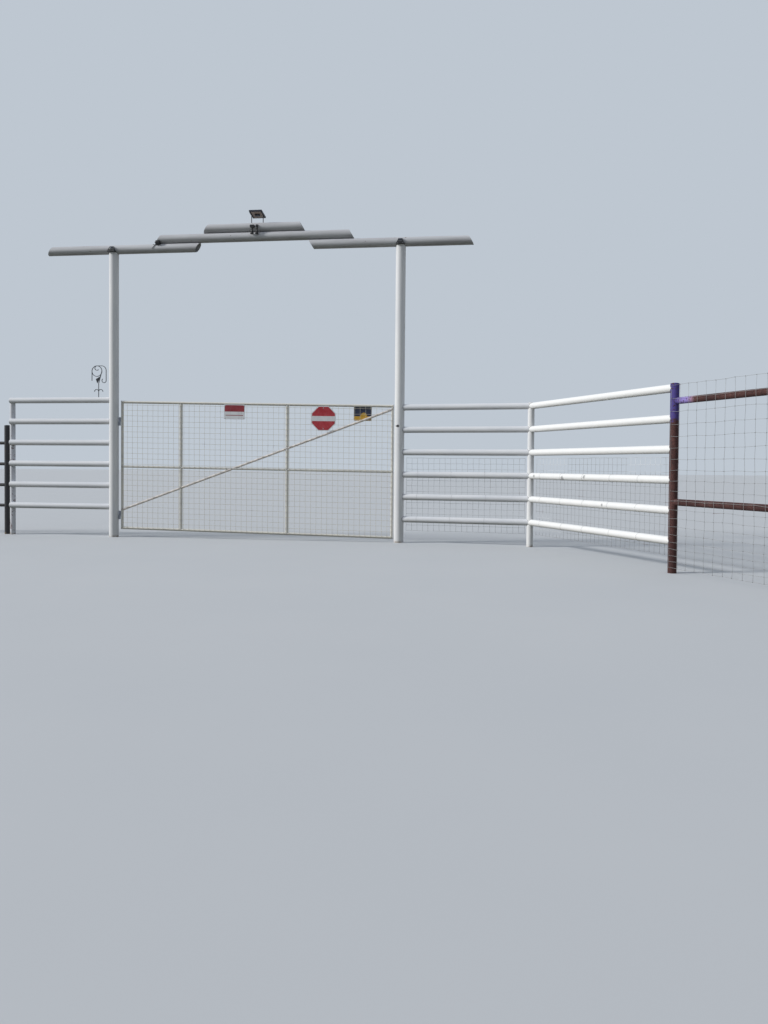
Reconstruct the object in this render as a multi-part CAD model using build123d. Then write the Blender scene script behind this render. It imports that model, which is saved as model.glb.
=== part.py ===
"""A ranch entrance gateway: two tall pipe posts under a stepped pipe arch, a mesh-filled swing
gate between them, and the pipe and wire fence that joins it on both sides.

Millimetres. The origin is on the foot of the left gate post. +X runs along the gate to the
right, +Y leads away from the road and +Z is up."""

import os
from math import asin, atan2, ceil, cos, hypot, radians, sin, tan

from build123d import *

# Gate posts and arch
POST_SPACING = 5470.0
POST_OD = 177.8
POST_WALL = 8.1
FOOT_PLATE = 12.0
ARCH_OD = 168.3
ARCH_WALL = 7.1
ARCH_CLEARANCE = 5365.0
ARCH_END_ANGLE = 31.0
LOW_PIPE_OVERHANG = 1310.0
LOW_PIPE_INNER = 1130.0
MIDDLE_PIPE_HALF = 1882.0
TOP_PIPE_HALF = 962.0

# Lights on the arch over the gate posts
POST_LIGHT_WIDTH = 155.0
POST_LIGHT_TOP_WIDTH = 72.0
POST_LIGHT_HEIGHT = 100.0
POST_LIGHT_BOTTOM = 5388.0
POST_LIGHT_PROUD = 62.0
POST_LIGHT_TOP_PROUD = 22.0
POST_LIGHT_LENS_WIDTH = 70.0
POST_LIGHT_LENS_HEIGHT = 30.0
POST_LIGHT_LENS_DEPTH = 4.0
POST_LIGHT_ROUND = 5.0

# Chain keyhole in the right gate post
KEYHOLE_HEIGHT = 2118.0
KEYHOLE_ROUND = 46.0
KEYHOLE_SLOT = 18.0
KEYHOLE_REACH = 46.0
KEYHOLE_TURN = 14.0

# Gate leaf
GATE_TUBE_OD = 50.8
GATE_UPRIGHT_OD = 60.3
GATE_MID_OD = 44.5
GATE_BRACE_OD = 42.2
GATE_TUBE_WALL = 3.2
HINGE_STILE_X = 168.0
LATCH_GAP = 14.0
GATE_TOP = 2569.0
GATE_BOTTOM = 176.0
GATE_SAG = 88.0
GATE_MID = 1346.0
GATE_MID_RISE = 28.0
UPRIGHT_1_X = 1329.0
UPRIGHT_2_X = 3379.0
BRACE_LOW = 520.0
BRACE_DROP = 58.0
MESH_PITCH = 101.6
MESH_WIRE = 5.0
MESH_PANELS = 4
MESH_FIRST_WIRE = 10.0

# Gate hinges
HINGE_AXIS_X = 116.0
HINGE_HEIGHTS = (413.0, 2196.0)
HINGE_PIN = 20.0
HINGE_RUNNING_GAP = 0.1
KNUCKLE_OD = 34.0
KNUCKLE_HEIGHT = 75.0
BARREL_HEIGHT = 80.0
BARREL_LIFT = 1.0
PIN_PROUD = 8.0
PIN_CHAMFER = 2.0
LUG_THICKNESS = 12.0

# White wing fences
RAIL_COUNT = 6
RAIL_PITCH = 406.4
RAIL_OD = 112.0
RAIL_WALL = 5.5
LEFT_TOP_RAIL = 2607.0
RIGHT_TOP_RAIL = 2458.0
LEFT_END_POST = (-2137.0, 104.0)
LEFT_END_POST_OD = 101.6
LEFT_RAIL_OVERRUN = 10.0
LEFT_RAIL_NOTCH = 53.0
LINE_POST = (7808.0, -299.0)
LINE_POST_OD = 114.3
FENCE_POST_WALL = 6.0
CAP_DEPTH = 8.0
CAP_RISE = 10.0

# Net wire behind the right wing
NET_PITCH = 101.6
NET_WIRE = 4.0
NET_TOP = 1541.6
NET_HEIGHT = 1320.8

# Rusty brace panel at the right end
BRACE_POST = (9484.0, -3333.0)
BRACE_POST_OD = 114.3
BRACE_POST_HEIGHT = 2518.0
BRACE_BAY_LENGTH = 2440.0
BRACE_RAIL_OD = 88.9
BRACE_RAIL_DROPS = (233.0, 1573.0)
HIGH_NET_STAY_PITCH = 152.4
HIGH_NET_TOP = 2490.0
HIGH_NET_BOTTOM = 80.0
HIGH_NET_LINES = 20
HIGH_NET_FIRST_GAP = 76.0

# Black rail fence at the left end
BLACK_POST = (-2270.0, 142.0)
BLACK_POST_OD = 114.3
BLACK_POST_HEIGHT = 2127.0
BLACK_BAY_LENGTH = 2440.0
BLACK_RAIL_OD = 60.3
BLACK_RAIL_WALL = 3.9
BLACK_RAIL_DROPS = (344.0, 752.0, 1162.0, 1563.0)

# Solar light on the arch
PANEL_WIDTH = 240.0
PANEL_DEPTH = 290.0
PANEL_THICKNESS = 25.0
PANEL_RIM = 11.0
PANEL_GLASS_DROP = 3.0
PANEL_TILT = 8.0
PANEL_CENTRE_X = 2795.0
PANEL_HEIGHT_OVER_PIPE = 165.0
PANEL_LEG = 14.0
PANEL_LEG_SPACING = 220.0
PANEL_BEARER_LENGTH = 232.0
JUNCTION_BOX = (90.0, 60.0, 20.0)
LAMP_CENTRES_X = (2728.0, 2818.0)
LAMP_BRACKET_WIDTHS = (80.0, 40.0)
LAMP_BRACKET_HEIGHT = 44.0
LAMP_BRACKET_PROUD = 38.0
LAMP_ARM = 10.0
LAMP_ARM_PROUD = 28.0
LAMP_DROP = 128.0
LAMP_HEAD = 46.0
LAMP_NECK = 22.0
LAMP_HEAD_HEIGHT = 44.0

# Wrought ornament on the left top rail
SCROLL_X = -312.0
SCROLL_BAR = 10.0
SCROLL_DEPTH = 10.0
SCROLL_STEM = 265.0
RING_CENTRE = (-35.0, 497.0)
RING_RADIUS = 100.0
TAIL_DROP = 183.0
LEAF = ((-26.0, 265.0), (-57.0, 344.0), (48.0, 406.0))
CURL_RADIUS = 42.0
CURL_TURN = 230.0
STRAND_LEAD = 60.0
STRAND_RADIUS = 90.0
STRAND_DROP = 190.0
BASE_CURL_HEIGHT = 105.0

# Heights and places that follow from the sizes above
CENTRE_X = POST_SPACING / 2
LOW_AXIS = ARCH_CLEARANCE + ARCH_OD / 2
MIDDLE_AXIS = LOW_AXIS + ARCH_OD
TOP_AXIS = MIDDLE_AXIS + ARCH_OD
ARCH_TOP = TOP_AXIS + ARCH_OD / 2
LATCH_STILE_X = POST_SPACING - POST_OD / 2 - LATCH_GAP - GATE_TUBE_OD / 2
LEAF_SPAN = LATCH_STILE_X - HINGE_STILE_X


def solid_bar(start, end, diameter):
    """Round solid bar from one point to another."""
    start, end = Vector(*start), Vector(*end)
    run = end - start
    section = Plane(origin=start, z_dir=run.normalized()) * Circle(diameter / 2)
    return extrude(section, amount=run.length)


def tube(start, end, diameter, wall, hosts=()):
    """Round tube between two points, its ends coped to the outside of the host tubes."""
    start, end = Vector(*start), Vector(*end)
    run = end - start
    ring = Circle(diameter / 2) - Circle(diameter / 2 - wall)
    body = extrude(Plane(origin=start, z_dir=run.normalized()) * ring, amount=run.length)
    for host in hosts:
        body -= solid_bar(*host)
    return body


def xz_prism(points, half_depth):
    """Prism with an outline in the XZ plane, as deep to the front as to the back."""
    return extrude(Plane.XZ * Polygon(*points, align=None), amount=half_depth, both=True)


def lattice(columns, rows, wire, drop=0.0, cut_left=False, cut_right=False):
    """Welded mesh in the XZ plane, of square wires that are one piece where they cross.

    The rows fall by drop for each unit of length. A cut side ends on its wire's centreline,
    where the next panel begins."""
    left = columns[0] - (0 if cut_left else wire / 2)
    right = columns[-1] + (0 if cut_right else wire / 2)

    def outline(x_1, x_2, z_1, z_2):
        corners = [(x_1, z_1), (x_2, z_1), (x_2, z_2), (x_1, z_2)]
        return Wire.make_polygon([Vector(x, 0, z - drop * x) for x, z in corners], close=True)

    openings = [outline(x_1 + wire / 2, x_2 - wire / 2, z_1 + wire / 2, z_2 - wire / 2)
                for x_1, x_2 in zip(columns, columns[1:])
                for z_1, z_2 in zip(rows, rows[1:])]
    face = Face(outline(left, right, rows[0] - wire / 2, rows[-1] + wire / 2), openings)
    return extrude(face, amount=wire, dir=(0, 1, 0))


def spread(first, last, pitch):
    """Evenly pitched positions that lie centred between two limits."""
    count = int((last - first) // pitch)
    start = (first + last - count * pitch) / 2
    return [start + number * pitch for number in range(count + 1)]


def steps(first, last, pitch):
    """Positions a pitch apart from the first limit, and one on the last limit."""
    count = ceil((last - first) / pitch)
    return [first + number * pitch for number in range(count)] + [last]


def panel_seams(columns, panels):
    """First and last column of each of a number of near equal panels."""
    seams = [round(number * (len(columns) - 1) / panels) for number in range(panels + 1)]
    return list(zip(seams, seams[1:]))


def save(name, *shapes):
    """Write one named piece, or a set of like pieces that don't touch."""
    solids = [solid for shape in shapes for solid in shape.solids()]
    export_step(Compound(children=solids) if len(solids) > 1 else solids[0], f"parts/{name}.step")


# Gateway posts and arch


def arch_pipe(bottom_left, bottom_right, axis_height, left_lean, right_lean):
    """Level arch pipe with slanting ends. A lean is how far an end's top is right of its bottom."""
    half = ARCH_OD / 2
    reach = 1.2
    low, high = axis_height - half * reach, axis_height + half * reach
    extra_left, extra_right = left_lean * (reach - 1) / 2, right_lean * (reach - 1) / 2
    outline = [
        (bottom_left - extra_left, low),
        (bottom_right - extra_right, low),
        (bottom_right + right_lean + extra_right, high),
        (bottom_left + left_lean + extra_left, high),
    ]
    first = min(bottom_left, bottom_left + left_lean) - ARCH_OD
    last = max(bottom_right, bottom_right + right_lean) + ARCH_OD
    pipe = tube((first, 0, axis_height), (last, 0, axis_height), ARCH_OD, ARCH_WALL)
    return pipe & xz_prism(outline, ARCH_OD)


def low_pipe_bar():
    """Outside of the low arch pipes, as one bar over both posts."""
    return (-LOW_PIPE_OVERHANG, 0, LOW_AXIS), (POST_SPACING + LOW_PIPE_OVERHANG, 0, LOW_AXIS), ARCH_OD


def gate_post(x):
    """Tall pipe post with a closed foot and its top coped round the arch pipe."""
    post = tube((x, 0, 0), (x, 0, LOW_AXIS), POST_OD, POST_WALL)
    post += solid_bar((x, 0, 0), (x, 0, FOOT_PLATE), POST_OD)
    return post - solid_bar(*low_pipe_bar())


def keyhole():
    """Cutter for the chain keyhole: a round hole with a slot leading off it to the gate."""
    reach = POST_OD
    outline = Circle(KEYHOLE_ROUND / 2) + Pos(-KEYHOLE_REACH / 2, 0) * Rectangle(KEYHOLE_REACH, KEYHOLE_SLOT)
    cutter = extrude(Plane.XZ * outline, amount=reach)
    return Pos(POST_SPACING, 0, KEYHOLE_HEIGHT) * Rot(0, 0, -KEYHOLE_TURN) * cutter


def post_light(x):
    """Wedge-shaped light on the front of the arch, seated on the pipe and the post's lobes."""
    low_depth = ARCH_OD / 2 + POST_LIGHT_PROUD
    top_depth = ARCH_OD / 2 + POST_LIGHT_TOP_PROUD
    lower = Plane(origin=(x, -low_depth / 2, POST_LIGHT_BOTTOM))
    upper = Plane(origin=(x, -top_depth / 2, POST_LIGHT_BOTTOM + POST_LIGHT_HEIGHT))
    body = loft([lower * Rectangle(POST_LIGHT_WIDTH, low_depth),
                 upper * Rectangle(POST_LIGHT_TOP_WIDTH, top_depth)])
    front = body.faces().sort_by(Axis.Y)[0]
    body = fillet(front.edges(), POST_LIGHT_ROUND)
    face = Plane(front)
    recess = Rectangle(POST_LIGHT_LENS_WIDTH, POST_LIGHT_LENS_HEIGHT)
    body -= extrude(face * recess, amount=-POST_LIGHT_LENS_DEPTH)
    body -= solid_bar(*low_pipe_bar())
    return body - solid_bar((x, 0, 0), (x, 0, LOW_AXIS), POST_OD)


def make_gateway():
    """The two gate posts, the four arch pipes and the lights on them."""
    lean = ARCH_OD * tan(radians(ARCH_END_ANGLE))
    save("left_gate_post", gate_post(0))
    save("right_gate_post", gate_post(POST_SPACING) - keyhole())
    save("arch_pipe_left", arch_pipe(-LOW_PIPE_OVERHANG, CENTRE_X - LOW_PIPE_INNER, LOW_AXIS, lean, lean))
    save("arch_pipe_right", arch_pipe(CENTRE_X + LOW_PIPE_INNER, POST_SPACING + LOW_PIPE_OVERHANG,
                                      LOW_AXIS, -lean, -lean))
    save("arch_pipe_middle", arch_pipe(CENTRE_X - MIDDLE_PIPE_HALF, CENTRE_X + MIDDLE_PIPE_HALF,
                                       MIDDLE_AXIS, lean, -lean))
    save("arch_pipe_top", arch_pipe(CENTRE_X - TOP_PIPE_HALF, CENTRE_X + TOP_PIPE_HALF,
                                    TOP_AXIS, lean, -lean))
    save("left_post_light", post_light(0))
    save("right_post_light", post_light(POST_SPACING))


# Gate leaf and hinges


def leaf_point(x, height, diameter=GATE_TUBE_OD):
    """Point on the axis of a leaf tube, let down by the sag that grows towards the latch.

    Tubes of every size lie with their fronts in one plane, as they are laid out for welding."""
    fall = GATE_SAG * (x - HINGE_STILE_X) / LEAF_SPAN
    return x, (diameter - GATE_TUBE_OD) / 2, height - fall


def mid_rail_point(x):
    """Point on the axis of the mid rail, which sags less than the frame."""
    rise = GATE_MID_RISE * (x - HINGE_STILE_X) / LEAF_SPAN
    return leaf_point(x, GATE_MID + rise, GATE_MID_OD)


def mitred_tube(start, end, start_corner, end_corner):
    """Frame tube cut at both ends on the mitre lines, which point out of the frame's corners."""
    start, end = Vector(*start), Vector(*end)
    along = (end - start).normalized()
    body = tube(start - along * GATE_TUBE_OD, end + along * GATE_TUBE_OD, GATE_TUBE_OD, GATE_TUBE_WALL)
    out_1, out_2 = Vector(*start_corner) * GATE_TUBE_OD, Vector(*end_corner) * GATE_TUBE_OD
    outline = [start + out_1, end + out_2, end - out_2, start - out_1]
    return body & xz_prism([(point.X, point.Z) for point in outline], GATE_TUBE_OD)


def make_frame():
    """Four frame tubes with mitred corners. Returns their outsides, for other tubes to be coped to."""
    slope = atan2(GATE_SAG, LEAF_SPAN)
    corners = {
        "top_hinge": (HINGE_STILE_X, GATE_TOP, 135),
        "top_latch": (LATCH_STILE_X, GATE_TOP, 45),
        "bottom_latch": (LATCH_STILE_X, GATE_BOTTOM, -45),
        "bottom_hinge": (HINGE_STILE_X, GATE_BOTTOM, -135),
    }
    sides = {
        "gate_top_rail": ("top_hinge", "top_latch"),
        "gate_latch_stile": ("top_latch", "bottom_latch"),
        "gate_bottom_rail": ("bottom_latch", "bottom_hinge"),
        "gate_hinge_stile": ("bottom_hinge", "top_hinge"),
    }
    outsides = {}
    for name, side in sides.items():
        ends, mitres = [], []
        for corner in side:
            x, height, quarter = corners[corner]
            angle = radians(quarter) - slope / 2
            ends.append(leaf_point(x, height))
            mitres.append((cos(angle), 0, sin(angle)))
        save(name, mitred_tube(*ends, *mitres))
        outsides[name] = (*ends, GATE_TUBE_OD)
    return outsides


def make_leaf():
    """Frame, uprights, mid rail and brace of the gate leaf, coped to each other in one plane."""
    frame = make_frame()
    uprights = []
    for number, x in enumerate((UPRIGHT_1_X, UPRIGHT_2_X), start=1):
        ends = [leaf_point(x, height, GATE_UPRIGHT_OD) for height in (GATE_BOTTOM, GATE_TOP)]
        hosts = (frame["gate_top_rail"], frame["gate_bottom_rail"])
        save(f"gate_upright_{number}", tube(*ends, GATE_UPRIGHT_OD, GATE_TUBE_WALL, hosts))
        uprights.append((*ends, GATE_UPRIGHT_OD))

    stations = [(HINGE_STILE_X, frame["gate_hinge_stile"]), (UPRIGHT_1_X, uprights[0]),
                (UPRIGHT_2_X, uprights[1]), (LATCH_STILE_X, frame["gate_latch_stile"])]
    save("gate_mid_rail", *[tube(mid_rail_point(x_1), mid_rail_point(x_2), GATE_MID_OD,
                                 GATE_TUBE_WALL, (host_1, host_2))
                            for (x_1, host_1), (x_2, host_2) in zip(stations, stations[1:])])

    low = leaf_point(HINGE_STILE_X, BRACE_LOW, GATE_BRACE_OD)
    high = leaf_point(LATCH_STILE_X, GATE_TOP - BRACE_DROP, GATE_BRACE_OD)
    mid_rail = (mid_rail_point(HINGE_STILE_X), mid_rail_point(LATCH_STILE_X), GATE_MID_OD)
    hosts = [host for _, host in stations] + [mid_rail]
    save("gate_brace", tube(low, high, GATE_BRACE_OD, GATE_TUBE_WALL, hosts))


def make_mesh():
    """Welded mesh on the front of the leaf's tubes, in panels that meet on an upright wire."""
    columns = steps(HINGE_STILE_X + MESH_FIRST_WIRE, LATCH_STILE_X, MESH_PITCH)
    rows = steps(GATE_BOTTOM, GATE_TOP, MESH_PITCH)
    drop = GATE_SAG / LEAF_SPAN
    place = Pos(0, -GATE_TUBE_OD / 2 - MESH_WIRE, drop * HINGE_STILE_X)
    for number, (first, last) in enumerate(panel_seams(columns, MESH_PANELS), start=1):
        panel = lattice(columns[first:last + 1], rows, MESH_WIRE, drop,
                        cut_left=first > 0, cut_right=last < len(columns) - 1)
        save(f"gate_mesh_{number}", place * panel)


def hinge_pin_half(height):
    """Post half of a hinge: a lug and knuckle welded to the post, with the pin standing in it."""
    base = height - KNUCKLE_HEIGHT
    half = solid_bar((HINGE_AXIS_X, 0, base), (HINGE_AXIS_X, 0, height), KNUCKLE_OD)
    tip = height + BARREL_LIFT + BARREL_HEIGHT + PIN_PROUD
    pin = solid_bar((HINGE_AXIS_X, 0, base), (HINGE_AXIS_X, 0, tip), HINGE_PIN)
    half += chamfer(pin.edges().sort_by(Axis.Z)[-1], PIN_CHAMFER)
    lug = Box(HINGE_AXIS_X, LUG_THICKNESS, KNUCKLE_HEIGHT, align=(Align.MIN, Align.CENTER, Align.MIN))
    half += Pos(0, 0, base) * lug
    return half - solid_bar((0, 0, 0), (0, 0, LOW_AXIS), POST_OD)


def hinge_barrel_half(height):
    """Gate half of a hinge: a barrel that turns on the pin, on a lug welded to the stile."""
    base = height + BARREL_LIFT
    half = solid_bar((HINGE_AXIS_X, 0, base), (HINGE_AXIS_X, 0, base + BARREL_HEIGHT), KNUCKLE_OD)
    lug = Box(HINGE_STILE_X - HINGE_AXIS_X, LUG_THICKNESS, BARREL_HEIGHT,
              align=(Align.MIN, Align.CENTER, Align.MIN))
    half += Pos(HINGE_AXIS_X, 0, base) * lug
    half -= solid_bar((HINGE_STILE_X, 0, 0), (HINGE_STILE_X, 0, GATE_TOP), GATE_TUBE_OD)
    bore = HINGE_PIN + 2 * HINGE_RUNNING_GAP
    return half - solid_bar((HINGE_AXIS_X, 0, base - 1), (HINGE_AXIS_X, 0, base + BARREL_HEIGHT + 1), bore)


def make_hinges():
    """Both halves of the lower and the upper gate hinge."""
    for name, height in zip(("lower", "upper"), HINGE_HEIGHTS):
        save(f"{name}_hinge_pin", hinge_pin_half(height))
        save(f"{name}_hinge_barrel", hinge_barrel_half(height))


# Fences beside the gateway


def capped_tube(start, end, diameter, wall, hosts=()):
    """Round tube with a low domed cap on its start, turned in one piece, and a coped end."""
    start, end = Vector(*start), Vector(*end)
    run = end - start
    outer, inner, length = diameter / 2, diameter / 2 - wall, run.length
    dome_radius = (outer ** 2 + CAP_RISE ** 2) / (2 * CAP_RISE)
    half_turn = asin(outer / dome_radius) / 2
    shoulder = (dome_radius * sin(half_turn), dome_radius * (1 - cos(half_turn)) - CAP_RISE)
    profile = Polyline((outer, 0), (outer, length), (inner, length), (inner, CAP_DEPTH),
                       (0, CAP_DEPTH), (0, -CAP_RISE))
    profile += ThreePointArc((0, -CAP_RISE), shoulder, (outer, 0))
    body = revolve(Plane.XZ * make_face(profile), Axis.Z)
    body = Plane(origin=start, z_dir=run.normalized()).location * body
    for host in hosts:
        body -= solid_bar(*host)
    return body


def fence_post(place, diameter, height):
    """Pipe fence post with a closed foot and a low domed cap."""
    foot = (*place, 0)
    post = capped_tube((*place, height), foot, diameter, FENCE_POST_WALL)
    return post + solid_bar(foot, (*place, FOOT_PLATE), diameter)


def upright_bar(place, diameter, height):
    """Outside of a post, as the host that rails are coped to."""
    return (*place, 0), (*place, height), diameter


def bay_frame(start, end):
    """Placement whose X runs from one post to the next, with Y to the field side."""
    direction = Vector(end[0] - start[0], end[1] - start[1], 0)
    return Plane(origin=(*start, 0), x_dir=direction.normalized(), z_dir=(0, 0, 1)).location


def bay_length(start, end):
    """Distance between two post axes."""
    return hypot(end[0] - start[0], end[1] - start[1])


def rail_heights(top):
    """Heights of the white rails, from the top rail down."""
    return [top - number * RAIL_PITCH for number in range(RAIL_COUNT)]


def wing_net(start, end, start_gap, end_gap, offset, panels=1):
    """Square-mesh net on the field side of a bay of rails, in panels that meet on a stay."""
    columns = spread(start_gap, bay_length(start, end) - end_gap, NET_PITCH)
    rows = spread(NET_TOP - NET_HEIGHT, NET_TOP, NET_PITCH)
    place = bay_frame(start, end) * Pos(0, offset, 0)
    return [place * lattice(columns[first:last + 1], rows, NET_WIRE,
                            cut_left=first > 0, cut_right=last < len(columns) - 1)
            for first, last in panel_seams(columns, panels)]


def left_rail_ends(height):
    """Ends of a left rail's axis: past the front of the end post, and at the gate post.
    The back of the rail is notched around the end post."""
    x, y = LEFT_END_POST
    front_y = y - LEFT_END_POST_OD / 2 - RAIL_OD / 2 + LEFT_RAIL_NOTCH
    return (x - LEFT_RAIL_OVERRUN, front_y, height), (0, 0, height)


def make_left_wing():
    """End post and six rails between it and the left gate post."""
    save("left_end_post", fence_post(LEFT_END_POST, LEFT_END_POST_OD,
                                     LEFT_TOP_RAIL + RAIL_OD / 2))
    hosts = (upright_bar((0, 0), POST_OD, LOW_AXIS),
             upright_bar(LEFT_END_POST, LEFT_END_POST_OD, LOW_AXIS))
    save("left_wing_rails", *[capped_tube(*left_rail_ends(height), RAIL_OD, RAIL_WALL, hosts)
                              for height in rail_heights(LEFT_TOP_RAIL)])


def make_right_wing():
    """Line post, two bays of rails and the net wire behind them."""
    gate_place = (POST_SPACING, 0)
    gate_host = upright_bar(gate_place, POST_OD, LOW_AXIS)
    line_host = upright_bar(LINE_POST, LINE_POST_OD, LOW_AXIS)
    brace_host = upright_bar(BRACE_POST, BRACE_POST_OD, LOW_AXIS)
    save("right_line_post", fence_post(LINE_POST, LINE_POST_OD, RIGHT_TOP_RAIL + RAIL_OD / 2))
    near_rails, far_rails = [], []
    for height in rail_heights(RIGHT_TOP_RAIL):
        start, corner, end = (*gate_place, height), (*LINE_POST, height), (*BRACE_POST, height)
        near_host = (start, corner, RAIL_OD)
        near_rails.append(tube(start, corner, RAIL_OD, RAIL_WALL, (gate_host, line_host)))
        far_rails.append(tube(corner, end, RAIL_OD, RAIL_WALL, (line_host, near_host, brace_host)))
    save("right_wing_rails_1", *near_rails)
    save("right_wing_rails_2", *far_rails)
    save("right_net_1", *wing_net(gate_place, LINE_POST, POST_OD / 2, LINE_POST_OD / 2, RAIL_OD / 2))
    near, far = wing_net(LINE_POST, BRACE_POST, LINE_POST_OD / 2, BRACE_POST_OD / 2,
                         RAIL_OD / 2, panels=2)
    save("right_net_2", near)
    save("right_net_3", far)


def make_brace_panel():
    """Rusty end post, its far post, the two rails between them and the high net in front."""
    start, end = LINE_POST, BRACE_POST
    scale = BRACE_BAY_LENGTH / bay_length(start, end)
    far_post = (end[0] + (end[0] - start[0]) * scale, end[1] + (end[1] - start[1]) * scale)
    save("brace_post_near", fence_post(BRACE_POST, BRACE_POST_OD, BRACE_POST_HEIGHT))
    save("brace_post_far", fence_post(far_post, BRACE_POST_OD, BRACE_POST_HEIGHT))
    hosts = (upright_bar(BRACE_POST, BRACE_POST_OD, LOW_AXIS), upright_bar(far_post, BRACE_POST_OD, LOW_AXIS))
    for name, drop in zip(("brace_top_rail", "brace_mid_rail"), BRACE_RAIL_DROPS):
        height = BRACE_POST_HEIGHT - drop
        save(name, tube((*BRACE_POST, height), (*far_post, height), BRACE_RAIL_OD, RAIL_WALL, hosts))

    rows, gap = [HIGH_NET_BOTTOM], HIGH_NET_FIRST_GAP
    growth = 2 * ((HIGH_NET_TOP - HIGH_NET_BOTTOM) / (HIGH_NET_LINES - 1) - gap) / (HIGH_NET_LINES - 2)
    for _ in range(HIGH_NET_LINES - 1):
        rows.append(rows[-1] + gap)
        gap += growth
    net = lattice(spread(0, BRACE_BAY_LENGTH, HIGH_NET_STAY_PITCH), rows, NET_WIRE)
    save("high_net", bay_frame(BRACE_POST, far_post) * Pos(0, -BRACE_POST_OD / 2 - NET_WIRE, 0) * net)


def make_black_fence():
    """One bay of the low black rail fence that meets the left end post."""
    far_post = (BLACK_POST[0] - BLACK_BAY_LENGTH, BLACK_POST[1])
    save("black_post_near", fence_post(BLACK_POST, BLACK_POST_OD, BLACK_POST_HEIGHT))
    save("black_post_far", fence_post(far_post, BLACK_POST_OD, BLACK_POST_HEIGHT))
    hosts = (upright_bar(BLACK_POST, BLACK_POST_OD, LOW_AXIS), upright_bar(far_post, BLACK_POST_OD, LOW_AXIS))
    heights = [BLACK_POST_HEIGHT - drop for drop in BLACK_RAIL_DROPS]
    save("black_rails", *[tube((*far_post, height), (*BLACK_POST, height), BLACK_RAIL_OD,
                               BLACK_RAIL_WALL, hosts) for height in heights])


# Small things on the arch and the fence


def make_solar_light():
    """Tilted panel on two legs over the top arch pipe, and two small lamps in front of the pipe."""
    pipe = solid_bar((0, 0, TOP_AXIS), (POST_SPACING, 0, TOP_AXIS), ARCH_OD)
    upwards = (Align.CENTER, Align.CENTER, Align.MIN)
    downwards = (Align.CENTER, Align.CENTER, Align.MAX)
    tilt = Pos(PANEL_CENTRE_X, 0, ARCH_TOP + PANEL_HEIGHT_OVER_PIPE) * Rot(-PANEL_TILT, 0, 0)
    underside = tilt * Pos(0, 0, -PANEL_THICKNESS / 2)
    glass = tilt * Pos(0, 0, PANEL_THICKNESS / 2)
    panel = tilt * Box(PANEL_WIDTH, PANEL_DEPTH, PANEL_THICKNESS)
    panel += underside * Box(*JUNCTION_BOX, align=downwards)
    panel -= glass * Box(PANEL_WIDTH - 2 * PANEL_RIM, PANEL_DEPTH - 2 * PANEL_RIM, 2 * PANEL_GLASS_DROP)
    save("solar_panel", panel)

    above = underside * Box(2 * PANEL_WIDTH, 2 * PANEL_DEPTH, PANEL_HEIGHT_OVER_PIPE, align=upwards)
    legs = []
    for side in (-1, 1):
        x = PANEL_CENTRE_X + side * PANEL_LEG_SPACING / 2
        leg = solid_bar((x, 0, TOP_AXIS), (x, 0, ARCH_TOP + PANEL_HEIGHT_OVER_PIPE), PANEL_LEG)
        bearer = underside * Pos(side * PANEL_LEG_SPACING / 2, 0)
        leg += bearer * Box(PANEL_LEG, PANEL_BEARER_LENGTH, PANEL_LEG, align=downwards)
        legs.append(leg - pipe - above)
    save("solar_panel_stand", *legs)

    front = -ARCH_OD / 2
    arm_y = front - LAMP_ARM_PROUD
    for name, x, width in zip(("left_lamp", "right_lamp"), LAMP_CENTRES_X, LAMP_BRACKET_WIDTHS):
        lamp = Pos(x, front - LAMP_BRACKET_PROUD, TOP_AXIS) * Box(
            width, LAMP_BRACKET_PROUD + ARCH_OD / 4, LAMP_BRACKET_HEIGHT,
            align=(Align.CENTER, Align.MIN, Align.CENTER))
        lamp += solid_bar((x, arm_y, TOP_AXIS), (x, arm_y, TOP_AXIS - LAMP_DROP), LAMP_ARM)
        lamp += Pos(x, arm_y, TOP_AXIS - LAMP_DROP) * Cone(LAMP_HEAD / 2, LAMP_NECK / 2, LAMP_HEAD_HEIGHT)
        save(name, lamp - pipe)


def bent_bar(centre, radius, start, sweep):
    """Flat bar bent to an arc, as an outline. Angles are in degrees, from the right and anticlockwise."""
    return trace(CenterArc(centre, radius, start, sweep), line_width=SCROLL_BAR)


def straight_bar(start, end):
    """Straight flat bar between two points, as an outline."""
    return trace(Line(start, end), line_width=SCROLL_BAR)


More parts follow.
